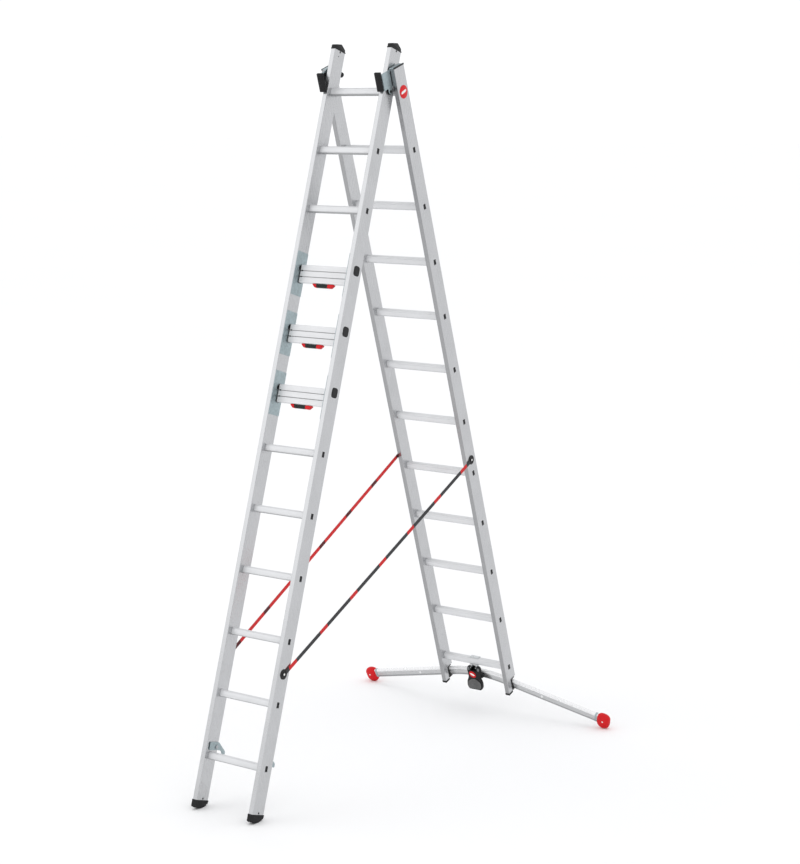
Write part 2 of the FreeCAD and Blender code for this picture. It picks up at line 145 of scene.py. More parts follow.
floor_mesh = bpy.data.meshes.new("studio_floor")
reach = 160.0
floor_corners = [(-reach, -reach, 0), (reach, -reach, 0), (reach, reach, 0), (-reach, reach, 0)]
floor_mesh.from_pydata(floor_corners, [], [(0, 1, 2, 3)])
floor_paint, tree, shader = blank("studio_floor_paint", Roughness=0.9, Specular_IOR_Level=0.1)
place = add(tree, "ShaderNodeTexCoord").outputs["Object"]
clouds = noise(tree, place, 0.3, 2.0)
wire(tree, shader, ramp(tree, clouds, (0.3, (0.955, 0.955, 0.96)), (0.7, (0.965, 0.965, 0.965))))
floor_mesh.materials.append(floor_paint)
floor = bpy.data.objects.new("studio_floor", floor_mesh)
scene.collection.objects.link(floor)

world = bpy.data.worlds.new("studio_sky")
world.use_nodes = True
world.node_tree.nodes["Background"].inputs["Color"].default_value = (0.985, 0.99, 1.0, 1.0)
world.node_tree.nodes["Background"].inputs["Strength"].default_value = 1.06
scene.world = world
scene.view_settings.view_transform = "Standard"


lamp = bpy.data.lights.new("front_left_light", "AREA")
lamp.size, lamp.energy = 7.5, 92.0
light = bpy.data.objects.new("front_left_light", lamp)
light.location = (-6.5, -8.0, 6.5)
ladder_middle = np.array([0.0, 0.0, 1.6])
away = np.array(light.location) - ladder_middle
light.rotation_euler = (math.atan2(math.hypot(away[0], away[1]), away[2]), 0.0,
                        math.atan2(away[0], -away[1]))
scene.collection.objects.link(light)

# ---------------------------------------------------------------- stiles
# Four box-section aluminium extrusions with a satin drawn surface: fine die lines run their
# whole length and handling has dulled them in soft patches.
lean = {"front": math.radians(17.2), "rear": math.radians(-18.8)}
hinge_height = 3.168
section_start = {"front": (-0.0797, hinge_height), "rear": (-0.0117, hinge_height)}


def drawn_aluminium(name, tip, along, tint=(0.535, 0.54, 0.55), dull=0.26, metal=0.92,
                    front_shade=0.0):
    """Satin extrusion: die lines are noise stretched along the drawing direction.

    Faces square to the section's front are darkened by the front shade: painted shade for the
    darker tone those faces take in the light, not a different finish.
    """
    material, tree, shader = blank(name, Metallic=metal)
    coords = add(tree, "ShaderNodeTexCoord").outputs["Object"]
    stretch = {"z": (700.0, 700.0, 5.0), "x": (5.0, 700.0, 700.0)}[along]
    turned = add(tree, "ShaderNodeMapping", Vector=coords, Rotation=(-tip, 0.0, 0.0)).outputs["Vector"]
    drawn = add(tree, "ShaderNodeMapping", Vector=turned, Scale=stretch).outputs["Vector"]
    lines = noise(tree, drawn, 1.0, 3.0)
    patches = noise(tree, coords, 7.0, 5.0, 0.6)
    grain = noise(tree, coords, 420.0, 2.0)
    mixed = mix(tree, "FLOAT", 0.45, lines, patches)
    colour = ramp(tree, mixed, (0.35, scaled(tint, 0.93)), (0.65, scaled(tint, 1.05)))
    if front_shade:
        square = add(tree, "ShaderNodeVectorMath", {"operation": "DOT_PRODUCT"})
        tree.links.new(add(tree, "ShaderNodeTexCoord").outputs["Normal"], square.inputs[0])
        square.inputs[1].default_value = (0.0, -math.cos(tip), math.sin(tip))
        share = add(tree, "ShaderNodeMapRange", Value=square.outputs["Value"], From_Min=0.6,
                    From_Max=0.95, To_Min=0.0, To_Max=front_shade).outputs["Result"]
        # Painted shade: faces square to the front are mixed toward dark grey.
        colour = mix(tree, "RGBA", share, colour, (0.16, 0.16, 0.165, 1.0))
    rough = add(tree, "ShaderNodeMapRange", Value=mixed, From_Min=0.3, From_Max=0.7,
                To_Min=dull - 0.05, To_Max=dull + 0.09).outputs["Result"]
    relief = maths(tree, "ADD", lines, grain)
    wire(tree, shader, colour, rough, relief, depth=0.00006, strength=0.25)
    return material


def paint_node(node, material):
    """Gives every slot of a CAD node the same material."""
    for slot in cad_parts[node].material_slots:
        slot.material = material


# The rear stiles' faces square to their front get painted shade.
for section, front_shade in (("front", 0.0), ("rear", 0.45)):
    finish = drawn_aluminium(section + "_stile_aluminium", lean[section], "z",
                             front_shade=front_shade)
    for side in ("left", "right"):
        paint_node(section + "_stile_" + side, finish)


# ---------------------------------------------------------------- rungs
# Extruded tubes, 30 by 33 mm, with fine anti-slip ribs above and below. Each end is swaged
# to a neck that passes through the stile and is flared flush with its outer face.
def in_section(section, across, out, down):
    """Points in metres of places in a leaning section, given in millimetres.

    Out is in front of the stiles' middle plane and down is along the stile below the top
    rung, so y = y0 - out cos(lean) - down sin(lean), z = z0 + out sin(lean) - down cos(lean).
    """
    across, out, down = np.broadcast_arrays(across, out, down)
    tip = lean[section]
    start_y, start_z = section_start[section]
    y = start_y - (out * math.cos(tip) + down * math.sin(tip)) * 0.001
    z = start_z + (out * math.sin(tip) - down * math.cos(tip)) * 0.001
    return np.stack([across * 0.001, y, z], axis=-1)


def rounded_box(wide, high, radius, steps=6):
    """Rectangle with round corners, anticlockwise: four quarter circles about their centres."""
    quarter = np.linspace(0.0, np.pi / 2, steps)
    angle = (np.arange(4)[:, None] * np.pi / 2 + quarter).ravel()
    corner = np.repeat([[1, 1], [-1, 1], [-1, -1], [1, -1]], steps, axis=0)
    middle = corner * np.array([wide / 2 - radius, high / 2 - radius])
    return middle + radius * np.stack([np.cos(angle), np.sin(angle)], axis=-1)


def resampled(outline, count):
    """The same closed outline with its points spread evenly along its length."""
    closed = np.vstack([outline, outline[:1]])
    run = np.concatenate([[0.0], np.cumsum(np.linalg.norm(np.diff(closed, axis=0), axis=1))])
    places = np.linspace(0.0, run[-1], count, endpoint=False)
    return np.stack([np.interp(places, run, closed[:, k]) for k in range(2)], axis=-1)


def shell(rings):
    """Closed skin through a stack of rings of equal count.

    Neighbouring rings are joined by quads and the first and last are each closed by one
    face. The skin is turned round if the volume it encloses comes out negative.
    """
    rings = np.asarray(rings, float)
    rows, count = rings.shape[:2]
    here = np.arange(count)
    there = (here + 1) % count
    start = np.arange(rows - 1)[:, None] * count
    sides = np.stack([start + here, start + there, start + count + there, start + count + here],
                     axis=-1).reshape(-1, 4)
    points = rings.reshape(-1, 3)
    ends = (here[::-1], here + (rows - 1) * count)
    centred = points - points.mean(axis=0)
    a, b, c, d = (centred[sides[:, k]] for k in range(4))
    volume = np.sum(np.cross(a, b) * c) + np.sum(np.cross(a, c) * d)
    for end in ends:
        loop = centred[end]
        volume += np.sum(np.cross(loop[0], loop[1:-1]) * loop[2:])
    faces = sides.tolist() + [end.tolist() for end in ends]
    if volume < 0:
        faces = [face[::-1] for face in faces]
    return points, faces


def across_skin(section, pairs, down=0.0):
    """Closed skin across the ladder from (distance across, outline of (out, down) points) pairs."""
    return shell([in_section(section, x, ring[:, 0], ring[:, 1] + down) for x, ring in pairs])


def piece(name, shells, body, finishes, stands_for=(), picks=None, crease=35.0):
    """One object from several skins, smooth but for edges sharper than the crease angle."""
    finishes = finishes if isinstance(finishes, (list, tuple)) else [finishes]
    picks = picks or [0] * len(shells)
    points, faces, choice, used = [], [], [], 0
    for (skin_points, skin_faces), pick in zip(shells, picks):
        points.append(skin_points)
        faces += [[index + used for index in face] for face in skin_faces]
        choice += [pick] * len(skin_faces)
        used += len(skin_points)
    mesh = bpy.data.meshes.new(name)
    mesh.from_pydata(np.concatenate(points).tolist(), [], faces)
    for finish in finishes:
        mesh.materials.append(finish)
    mesh.polygons.foreach_set("material_index", np.array(choice, np.int32))
    mesh.shade_smooth()
    mesh.set_sharp_from_angle(angle=math.radians(crease))
    made = bpy.data.objects.new(name, mesh)
    scene.collection.objects.link(made)
    if body:
        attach(made, body)
    if stands_for:
        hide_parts(*stands_for)
    return made


def paint_strips(made, strip_choice, rows):
    """Gives each lengthwise strip of a one-skin piece the finish chosen for it."""
    faces = np.concatenate([np.tile(strip_choice.astype(np.int32), rows - 1), [0, 0]])
    made.data.polygons.foreach_set("material_index", faces)


rung_pitch = 280.0
rung_points = 150
rib_pitch = 2.5
rib_depth = 0.45
stile_inner = {"front": 146.0, "rear": 181.0}
stile_outer = {"front": 170.0, "rear": 205.0}
section_body = {"front": "front_section", "rear": "rear_section"}
plain_rungs = {"front": [1, 2, 3, 7, 8, 9, 10, 11, 12], "rear": list(range(1, 13))}

rung_deep, rung_high, rib_reach = 30.0, 33.0, 10.6
ribbed_outline = resampled(rounded_box(rung_deep, rung_high, 5.0), rung_points)
deep, high = ribbed_outline.T.copy()
rib = rib_depth * 0.5 * (1 - np.cos(2 * np.pi * (deep + rib_reach) / rib_pitch))
on_flat = (np.abs(deep) < rib_reach) & (np.abs(high) > 15.0)
edge_line = (np.abs(np.abs(high) - 11.4) < 0.9) & (np.abs(deep) > 14.0)
ribbed_outline[:, 0] *= 1.0 - 0.08 * np.abs(high) / (rung_high / 2)
ribbed_outline[:, 0] -= np.where(edge_line, 1.3 * np.sign(deep), 0.0)
ribbed_outline[:, 1] -= np.where(on_flat, rib * np.sign(high), 0.0)
neck_outline = resampled(rounded_box(21.9, 29.9, 3.0), rung_points)
bore_outline = resampled(rounded_box(18.1, 26.1, 2.0), rung_points)

# The undersides get a darker copy of the finish: painted shade for the shade they lie in.
for section, numbers in plain_rungs.items():
    rung_finish = [drawn_aluminium(section + "_rung_aluminium", lean[section], "x",
                                   tint=(0.70, 0.705, 0.715), dull=0.38, metal=0.22),
                   drawn_aluminium(section + "_underside_aluminium", lean[section], "x",
                                   tint=(0.40, 0.405, 0.41), dull=0.42, metal=0.3)]
    inner, outer = stile_inner[section], stile_outer[section]
    half = [(-outer + 12.0, bore_outline), (-outer, bore_outline), (-outer, neck_outline),
            (-inner, neck_outline), (-inner, ribbed_outline * 0.965), (-inner + 0.6, ribbed_outline)]
    stations = half + [(-x, outline) for x, outline in half[::-1]]
    for number in numbers:
        name = "%s_rung_%02d" % (section, number)
        rung = piece(name + "_ribbed", [across_skin(section, stations, (number - 1) * rung_pitch)],
                     section_body[section], rung_finish, [name])
        paint_strips(rung, ribbed_outline[:, 1] > 13.2, len(stations))


# ---------------------------------------------------------------- rung end plugs and stile lids
# Black moulded plugs pushed into the rung ends: each has a raised rim round a sunk panel.
# The rear stiles are closed by thin lids at the top and, in front of their notch, at the foot.
def moulded(name, colour, rough=0.5, grain=900.0, speckle=0.12, depth=0.00012, scuff=1.6,
            metal=0.0):
    """Moulded plastic or rubber: spark-eroded grain, faint mottling and paler scuffs."""
    material, tree, shader = blank(name, Specular_IOR_Level=0.22, Metallic=metal)
    coords = add(tree, "ShaderNodeTexCoord").outputs["Object"]
    fine = noise(tree, coords, grain, 3.0)
    broad = noise(tree, coords, 38.0, 6.0, 0.65)
    shade = ramp(tree, broad, (0.3, scaled(colour, 1 - speckle)),
                 (0.62, scaled(colour, 1 + speckle, 0.001)), (0.78, scaled(colour, scuff, 0.004)))
    rough_map = add(tree, "ShaderNodeMapRange", Value=broad, From_Min=0.25, From_Max=0.75,
                    To_Min=rough - 0.07, To_Max=rough + 0.1).outputs["Result"]
    wire(tree, shader, shade, rough_map, fine, depth=depth, strength=0.35)
    return material


black_plastic = moulded("black_moulded_plastic", (0.011, 0.0115, 0.0125), rough=0.42)


def inset(outline, distance):
    """Closed anticlockwise outline moved inwards: each point along the mean of its two normals."""
    ahead = np.roll(outline, -1, axis=0) - outline
    ahead /= np.maximum(np.linalg.norm(ahead, axis=1, keepdims=True), 1e-9)
    behind = np.roll(ahead, 1, axis=0)
    normal = np.stack([ahead[:, 1] + behind[:, 1], -ahead[:, 0] - behind[:, 0]], axis=-1)
    share = np.maximum(1 + np.sum(ahead * behind, axis=1, keepdims=True), 0.35)
    return outline - normal / share * distance


def rung_plug(section, side, down, proud):
    """Plug in a rung's bore: rim, chamfer and sunk panel as insets of one rounded outline."""
    outline = rounded_box(17.9, 25.9, 2.0)
    face = stile_outer[section]
    steps = [(face - 10.0, 0.0), (face + proud - 0.5, 0.0), (face + proud, 0.5),
             (face + proud, 2.3), (face + proud - 0.9, 2.9)]
    return across_skin(section, [(side * x, inset(outline, cut)) for x, cut in steps], down)


def lid(section, x0, x1, out0, out1, down0, down1, radius, edge=1.0):
    """Thin block across a stile end: a rounded outline in plan, its outer face eased."""
    outline = rounded_box(abs(x1 - x0), abs(out1 - out0), radius) + [(x0 + x1) / 2, (out0 + out1) / 2]
    steps = [(down0, 0.0), (down1 - edge * np.sign(down1 - down0), 0.0), (down1, edge)]
    return shell([in_section(section, *inset(outline, cut).T, down) for down, cut in steps])


both_sides = (-1, 1)
front_plugs = [rung_plug("front", side, (number - 1) * rung_pitch, 0.7)
               for number in plain_rungs["front"] for side in both_sides]
rear_plugs = [rung_plug("rear", side, (number - 1) * rung_pitch, 0.0 if number == 1 else 0.8)
              for number in plain_rungs["rear"] for side in both_sides]
for side in both_sides:
    rear_plugs.append(lid("rear", side * 201.0, side * 205.6, -41.0, 41.0, -118.5, -125.2, 0.8, 0.3))
    rear_plugs.append(lid("rear", side * 181.0, side * 205.0, 4.0, 40.5, 3225.0, 3230.0, 2.0))
    rear_plugs.append(lid("rear", side * 180.4, side * 205.6, 4.4, 41.1, 3218.0, 3228.5, 2.4, 0.4))
piece("rear_end_plugs_moulded", rear_plugs, "rear_section", black_plastic,
      ["rear_end_plugs"])

tread_numbers = {"upper": 4, "middle": 5, "lower": 6}
polished_rim = drawn_aluminium("bearing_rim_aluminium", lean["front"], "z", tint=(0.66, 0.67, 0.68))
bearing_parts, bearing_picks = [], []
for number in tread_numbers.values():
    down = (number - 1) * rung_pitch
    for side in both_sides:
        for outline, pick, steps in (
                (rounded_box(47.5, 51.0, 15.0), 1, [(169.5, 0.0), (170.35, 0.0), (170.6, 0.4)]),
                (rounded_box(43.5, 47.0, 13.5), 0,
                 [(170.0, 0.0), (171.6, 0.0), (172.4, 0.8), (172.6, 3.2), (171.9, 3.9),
                  (171.9, 7.5), (172.5, 8.2)])):
            pairs = [(side * x, inset(outline, cut)) for x, cut in steps]
            bearing_parts.append(across_skin("front", pairs, down))
            bearing_picks.append(pick)
piece("front_end_plugs_moulded", front_plugs + bearing_parts, "front_section",
      [black_plastic, polished_rim], ["front_end_plugs"],
      picks=[0] * len(front_plugs) + bearing_picks)


# ---------------------------------------------------------------- top caps of the front stiles
# Black caps pressed into the stile tops: level over the front half, then bevelled down to the
# rear edge, with a skirt that sits on the extrusion and eased edges all round.
def anticlockwise(outline):
    """The same closed outline, turned round if it runs clockwise."""
    ahead = np.roll(outline, -1, axis=0)
    area = np.sum(outline[:, 0] * ahead[:, 1] - outline[:, 1] * ahead[:, 0])
    return outline if area > 0 else outline[::-1]


def rounded_corners(corners, radius, steps=5):
    """Polygon with eased corners: each is a quadratic curve between points a radius away."""
    corners = np.asarray(corners, float)
    turn = corners[:, None, :]
    before, after = np.roll(corners, 1, axis=0)[:, None, :], np.roll(corners, -1, axis=0)[:, None, :]

    def toward(other):
        gap = other - turn
        size = np.linalg.norm(gap, axis=2, keepdims=True)
        return turn + gap * np.minimum(radius / size, 0.45)

    t = np.linspace(0.0, 1.0, steps)[None, :, None]
    curve = (1 - t) ** 2 * toward(before) + 2 * t * (1 - t) * turn + t ** 2 * toward(after)
    outline = curve.reshape(-1, 2)
    return anticlockwise(outline)


def eased_box(x0, y0, x1, y1, radius):
    """Rectangle between two opposite corners, with its corners eased."""
    return rounded_corners([(x0, y0), (x0, y1), (x1, y1), (x1, y0)], radius)


def eased_stack(outline, near, far, edge, steps=4):
    """(distance, inset outline) pairs through a plate whose two rims are quarter circles."""
    angle = np.linspace(0.0, np.pi / 2, steps)
    way = np.sign(far - near)
    first = [(near + way * edge * (1 - math.cos(turn)), inset(outline, edge * (1 - math.sin(turn))))
             for turn in angle]
    return first + [(far + near - distance, ring) for distance, ring in first[::-1]]


def across_plate(section, outline, x0, x1, edge):
    """Plate across the ladder with an outline of (out, down) points and eased rims."""
    return across_skin(section, eased_stack(outline, x0, x1, edge))


def mirrored_plates(section, outline, x0, x1, edge):
    """The same plate across the ladder on its left and on its right."""
    return [across_plate(section, outline, side * x0, side * x1, edge) for side in both_sides]


def facing_skin(section, pairs):
    """Closed skin facing forward from (distance out, outline of (x, down) points) pairs."""
    return shell([in_section(section, ring[:, 0], out, ring[:, 1]) for out, ring in pairs])


def facing_plate(section, outline, out0, out1, edge):
    """Plate that faces forward with an outline of (x, down) points and eased rims."""
    return facing_skin(section, eased_stack(outline, out0, out1, edge))


cap_top = -200.0
cap_outline = rounded_corners([(40.5, cap_top), (42.0, cap_top - 16), (36.5, cap_top - 19.5),
                               (-4, cap_top - 31.5), (-36.5, cap_top - 15), (-40.5, cap_top)], 2.5)
skirt_outline = eased_box(42.0, cap_top - 3.5, -42.0, cap_top + 2.5, 0.8)
caps = mirrored_plates("front", cap_outline, 145.8, 170.2, 2.2)
skirts = mirrored_plates("front", skirt_outline, 145.2, 170.8, 0.6)
piece("front_top_caps_moulded", caps + skirts, "front_section", black_plastic,
      ["front_top_caps"])

# ---------------------------------------------------------------- floor feet of the front section
# Black rubber shoes pushed over the stile ends: the sole is gently convex and cut across by
# grip grooves, and a collar runs round the top edge.
black_rubber = moulded("black_foot_rubber", (0.013, 0.013, 0.014), rough=0.62, grain=520.0,
                       depth=0.0002, scuff=2.0)
foot_top = 3281.0
sole_samples = np.linspace(-40.5, 40.5, 69)
tip = lean["front"]
floor_line = (hinge_height * 1000 + sole_samples * math.sin(tip)) / math.cos(tip)
rocker = 0.0078 * (sole_samples + 6.0) ** 2
groove_pitch, groove_half, groove_depth = 11.0, 1.7, 2.4
from_middle = np.abs((sole_samples + 40.5) % groove_pitch - groove_pitch / 2)
grooved = (from_middle < groove_half) & (np.abs(sole_samples) < 38)
sole = np.stack([sole_samples, floor_line - rocker - np.where(grooved, groove_depth, 0.0)], axis=-1)
shoe_outline = anticlockwise(np.vstack([
    sole, [(42.0, sole[-1, 1] - 4.0), (42.0, foot_top + 10.0), (41.2, foot_top),
           (-41.2, foot_top), (-42.0, foot_top + 10.0)]]))
collar_outline = eased_box(42.4, foot_top - 1.0, -42.4, foot_top + 7.0, 1.0)
shoes = mirrored_plates("front", shoe_outline, 144.6, 171.4, 0.7)
collars = mirrored_plates("front", collar_outline, 144.2, 171.8, 0.8)
piece("front_feet_grooved", shoes + collars, "front_section", black_rubber,
      ["front_feet"])


# ---------------------------------------------------------------- stop knobs, pins and hook bolts
# Turned parts of the front section: a ribbed black stop knob behind each stile near its top,
# dark drive pins through the caps and feet, and zinc bolts that carry the ratchet hooks.
def turned(section, axis, centre, profile, count=28, way=1, flutes=0.0, flute_count=0):
    """Solid of revolution about an axis across ("x") or square to ("out") a section.

    The profile is (distance along the axis, radius) pairs from the start point, with the
    distance turned round if the way is -1. Flutes take a cosine wave of that depth off the
    radius round the rim.
    """
    angle = np.linspace(0.0, 2 * np.pi, count, endpoint=False)
    rings = []
    for distance, radius in profile:
        bite = flutes * 0.5 * (1 - np.cos(flute_count * angle)) if flutes and radius > 3 * flutes else 0.0
        a, b = (radius - bite) * np.cos(angle), (radius - bite) * np.sin(angle)
        step = (way * distance, a, b) if axis == "x" else (a, way * distance, b)
        rings.append(in_section(section, *(start + move for start, move in zip(centre, step))))
    return shell(rings)


def domed(height, radius, start=0.0, steps=4):
    """Profile of a domed head: a quarter ellipse from the rim to the crown."""
    angle = np.linspace(0.0, np.pi / 2 * 0.97, steps)
    return [(start - 0.4 * np.sign(height), radius)] + [
        (start + height * math.sin(turn), radius * math.cos(turn)) for turn in angle]


bolt_steel = moulded("zinc_bolt_steel", (0.42, 0.44, 0.46), rough=0.34, grain=700.0, speckle=0.1,
                     depth=0.00005, scuff=1.25, metal=0.95)
dark_pin = moulded("blackened_pin_steel", (0.010, 0.010, 0.011), rough=0.45, grain=800.0, scuff=2.0)
knob_profile = [(-40.2, 5.5), (-47.5, 5.5), (-47.5, 11.0), (-48.8, 12.6), (-60.2, 12.6),
                (-61.8, 11.2), (-62.0, 6.0), (-61.2, 5.2)]
hook_bolt = [(0.0, 5.0), (-6.4, 5.0), (-6.4, 8.6), (-10.4, 8.6), (-11.0, 7.8)]
hook_pin = (-22.0, 3040.0)
fasteners, fastener_picks = [], []
for side in both_sides:
    pins = [(side * face, -1.5, down, side * rise, 5.0) for down in (-192.0, 3273.0)
            for face, rise in ((170.0, 0.8), (146.0, -0.8))]
    pins.append((side * 146.0, 4.0, -170.0, side * -0.6, 2.8))
    fasteners.append(turned("front", "out", (side * 158.0, 0, -101.0), knob_profile, 40,
                            flutes=0.7, flute_count=10))
    fasteners += [turned("front", "x", place, domed(rise, radius)) for *place, rise, radius in pins]
    fasteners.append(turned("front", "x", (side * 146.0, *hook_pin), hook_bolt, 6, side))
    fastener_picks += [0] + [1] * len(pins) + [2]
piece("front_fasteners_turned", fasteners, "front_section", [black_plastic, dark_pin, bolt_steel],
      ["front_fasteners"], picks=fastener_picks)


# ---------------------------------------------------------------- treads
# Three wide steps that swing down for standing: a hollow aluminium board of three ribbed bands
# parted by grooves, black moulded ends, and a red and black release grip. The flat grey
# strips in the grooves are painted shade.
def galvanised(name, tint=(0.36, 0.43, 0.45)):
    """Zinc-coated sheet: crystals of slightly different grey, a little cooler than aluminium."""
    material, tree, shader = blank(name, Metallic=0.85)
    coords = add(tree, "ShaderNodeTexCoord").outputs["Object"]
    crystals = add(tree, "ShaderNodeTexVoronoi", Vector=coords, Scale=140.0).outputs["Color"]
    single = add(tree, "ShaderNodeSeparateColor", Color=crystals).outputs["Red"]
    haze = noise(tree, coords, 26.0, 5.0)
    mixed = mix(tree, "FLOAT", 0.6, single, haze)
    colour = ramp(tree, mixed, (0.25, scaled(tint, 0.84)), (0.75, scaled(tint, 1.14)))
    rough = add(tree, "ShaderNodeMapRange", Value=mixed, To_Min=0.3, To_Max=0.5)
    wire(tree, shader, colour, rough.outputs["Result"], haze, depth=0.00008, strength=0.25)
    return material


zinc_sheet = galvanised("galvanised_sheet")
paint_node("tread_side_plates", zinc_sheet)

tread_finish = drawn_aluminium("tread_aluminium_ribbed", lean["front"], "x", tint=(0.74, 0.742, 0.75),
                               dull=0.34, metal=0.3)
groove_painted_shade = moulded("tread_groove_shadow", (0.27, 0.27, 0.275), rough=0.6, grain=600.0)
grip_black = moulded("grip_black_plastic", (0.012, 0.019, 0.017), rough=0.45)
signal_red = moulded("signal_red_plastic", (0.62, 0.006, 0.010), rough=0.38, grain=800.0,
                     speckle=0.08, scuff=1.12)
board_low, board_high, board_back = -16.0, 68.0, -26.0
board_outline = resampled(eased_box(2.0, board_low, board_back, board_high, 5.0), 420)
height_on_face = board_outline[:, 1] - board_low
band = (board_high - board_low) / 3
from_groove = np.minimum(np.abs(height_on_face - band), np.abs(height_on_face - 2 * band))
standing = board_outline[:, 0] > 1.5
fine_rib = 0.45 * 0.5 * (1 - np.cos(2 * np.pi * height_on_face / 2.8))
ribbed = standing & (height_on_face > 6) & (height_on_face < 78)
board_outline[:, 0] -= np.where(standing & (from_groove < 1.7), 2.2, np.where(ribbed, fine_rib, 0.0))
tread_half = 140.6
for label, number in tread_numbers.items():
    down = (number - 1) * rung_pitch
    ends = [(-tread_half, 0.5), (-tread_half + 0.5, 0.0), (tread_half - 0.5, 0.0), (tread_half, 0.5)]
    board = across_skin("front", [(x, inset(board_outline, cut)) for x, cut in ends], down)
    piece("tread_board_%s_ribbed" % label, [board], "tread_" + label, tread_finish,
          ["tread_board_" + label])

    # Flat grey strips in the grooves: painted shade.
    grooves = [down + board_low + band, down + board_low + 2 * band]
    end_shells = [across_plate("front", eased_box(-0.9, groove - 1.3, 0.6, groove + 1.3, 0.3),
                               -136.0, 136.0, 0.2) for groove in grooves]
    cheek = eased_box(1.4, down + board_low - 1, board_back - 1, down + board_high + 1, 6.0)
    end_shells += mirrored_plates("front", cheek, 139.6, 142.8, 0.8)
    for groove in grooves:
        pocket = eased_box(0.0, groove - 3.0, 2.25, groove + 3.0, 0.6)
        end_shells += mirrored_plates("front", pocket, 127.0, 136.5, 0.25)
    end_shells += [turned("front", "x", (side * 142.8, 0.0, down),
                          [(0.0, 9.0), (20.0, 9.0), (21.2, 8.0)], way=side) for side in both_sides]
    piece("tread_end_caps_%s_moulded" % label, end_shells, "tread_" + label,
          [black_plastic, groove_painted_shade], ["tread_end_caps_" + label],
          picks=[1] * len(grooves) + [0] * (len(end_shells) - len(grooves)))

    top = down + board_high + 1.0
    core = rounded_corners([(-52, top + 0.6), (34, top + 0.6), (30, top + 16.6), (-44, top + 16.6)], 2.5)
    grip = [facing_plate("front", core, -19.6, -1.6, 1.6)]
    for x in np.arange(-38.0, 13.0, 10.0):
        rib_bar = eased_box(x - 2, top + 4, x + 2, top + 14, 1.5)
        grip.append(facing_plate("front", rib_bar, -3.0, -0.6, 0.7))
    black_parts = len(grip)
    for side, reach_in, reach_out in ((-1, 42.0, 62.0), (1, 22.0, 55.0)):
        foot_in, foot_out = min(reach_in, 36.0), reach_out - 14.0
        red_end = rounded_corners([(side * reach_in, top), (side * reach_out, top),
                                   (side * reach_out, top + 4.5), (side * foot_out, top + 17),
                                   (side * foot_in, top + 17)], 2.5)
        grip.append(facing_plate("front", red_end, -20.0, -1.0, 1.6))
    piece("tread_grip_%s_moulded" % label, grip, "grip_" + label, [grip_black, signal_red],
          ["tread_grip_" + label], picks=[0] * black_parts + [1, 1])

# ---------------------------------------------------------------- ratchet hooks
# Pressed zinc-coated plates that swing inside the front stiles and sit on a rear rung when the
# ladder is extended: the rear end is a claw and the bolt hole has a pressed collar.
hook_outline = rounded_corners([(25, 3021), (-36, 3018), (-93, 3058), (-91, 3076), (-74, 3073),
                                (-62, 3056), (-30, 3054), (22, 3058)], 6.0, 6)
bead_outline = rounded_corners([(14, 3034), (-34, 3031), (-76, 3060), (-74, 3064), (-33, 3040),
                                (14, 3042)], 3.0)
for side, name in zip(both_sides, ("left", "right")):
    plate = across_plate("front", hook_outline, side * 140.0, side * 144.0, 0.9)
    boss = turned("front", "x", (side * 140.0, *hook_pin),
                  [(1.0, 12.0), (-0.7, 12.0), (-1.2, 11.0), (-1.2, 9.4), (0.5, 9.2)], way=side)
    bead = across_plate("front", bead_outline, side * 139.0, side * 141.0, 0.8)
    piece("rung_hook_%s_pressed" % name, [plate, boss, bead], "hook_" + name, zinc_sheet,
          ["rung_hook_" + name])

# ---------------------------------------------------------------- top brackets, pads and liners
# A zinc-coated plate is riveted inside each rear stile and bent across in front of the front
# stile; a ribbed black block lines the bend and a thin black liner faces the plate.
tip = lean["rear"]
gap_y = (section_start["front"][0] - section_start["rear"][0]) * 1000
hinge_out = -gap_y * math.cos(tip)
hinge_down = -gap_y * math.sin(tip)
closed_face = hinge_out + 40.5
lip_out = closed_face + 6.0
lip_top, lip_foot = -119, -39
bracket_outline = rounded_corners([
    (-36, -124), (40, -124), (40, lip_top), (lip_out, lip_top), (lip_out, lip_foot),
    (hinge_out + 12, lip_foot), (hinge_out + 12, hinge_down), (hinge_out + 8, hinge_down + 10),
    (hinge_out - 8, hinge_down + 10), (hinge_out - 12, hinge_down), (hinge_out - 12, lip_foot),
    (-36, lip_foot)], 5.0)
for side, name in zip(both_sides, ("left", "right")):
    plate = across_plate("rear", bracket_outline, side * 178.0, side * 181.0, 0.7)
    lip_plate = facing_plate("rear", eased_box(side * 148, lip_top, side * 181, lip_foot, 3.0),
                             lip_out - 3.0, lip_out, 0.7)
    bead = across_plate("rear", eased_box(-24, -84, 62, -74, 4.5), side * 176.9, side * 178.4, 0.6)
    flange = lid("rear", side * 178.2, side * 202.8, -36.0, 40.0, -121.0, -124.0, 2.0, 0.6)
    piece("top_bracket_%s_pressed" % name, [plate, lip_plate, bead, flange], "rear_section", zinc_sheet,
          ["top_bracket_" + name])

core = eased_box(closed_face + 1.4, -128, lip_out + 8.6, lip_foot, 3.0)
pad_shells = mirrored_plates("rear", core, 146.2, 177.4, 1.6)
for index in range(9):
    low = -124.0 + index * 9.4
    rib_bar = eased_box(lip_out + 7.0, low, lip_out + 10.0, low + 5.4, 1.2)
    pad_shells += mirrored_plates("rear", rib_bar, 147.7, 175.9, 0.6)
liner = rounded_corners([(45, -112), (lip_out - 6, -112), (lip_out - 6, -45), (86, -45)], 3.0)
pad_shells += mirrored_plates("rear", liner, 176.1, 178.0, 0.5)
pad_shells += mirrored_plates("rear", eased_box(41.0, -112, 44.0, -42, 1.0), 180.6, 182.4, 0.4)
piece("bracket_pads_ribbed", pad_shells, "rear_section", black_rubber, ["bracket_pads"])

